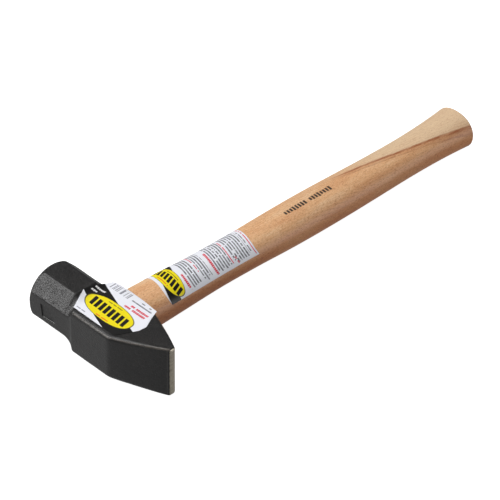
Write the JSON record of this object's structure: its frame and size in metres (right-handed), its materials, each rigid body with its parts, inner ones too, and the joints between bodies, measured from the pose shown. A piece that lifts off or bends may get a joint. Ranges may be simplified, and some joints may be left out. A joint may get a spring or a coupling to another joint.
{
  "type": "cross-peen hammer",
  "caption": "Cross-peen blacksmith's hammer: forged octagonal-poll head with a wedge peen, wedged on an oval hickory handle, with two stickers.",
  "frame": {"origin": "middle of the bounding box, on its bottom, where the poll's lower flat lies on the bench", "axes": "+X along the handle from the head to the butt, +Y towards the striking face, -Y towards the peen, +Z out of the labelled cheek"},
  "size_m": [0.4064, 0.136, 0.0464],
  "materials": {
    "forged_head": "dark lacquered forged steel, ground bright at the striking face and the peen edge",
    "hickory": "satin lacquered hickory with straight grain along the handle",
    "wedge_wood": "plain sawn hardwood",
    "wedge_steel": "plain mild steel",
    "sealer": "dark sealing compound under the head's lacquer",
    "head_sticker": "printed vinyl sticker",
    "handle_sticker": "printed vinyl sticker"
  },
  "bodies": {
    "root": {"head": "forged_head", "handle": "hickory", "wood_wedge": "wedge_wood", "steel_wedge_1": "wedge_steel", "steel_wedge_2": "wedge_steel", "eye_seal": "sealer", "head_label": "head_sticker", "handle_label": "handle_sticker"}
  },
  "joints": []
}
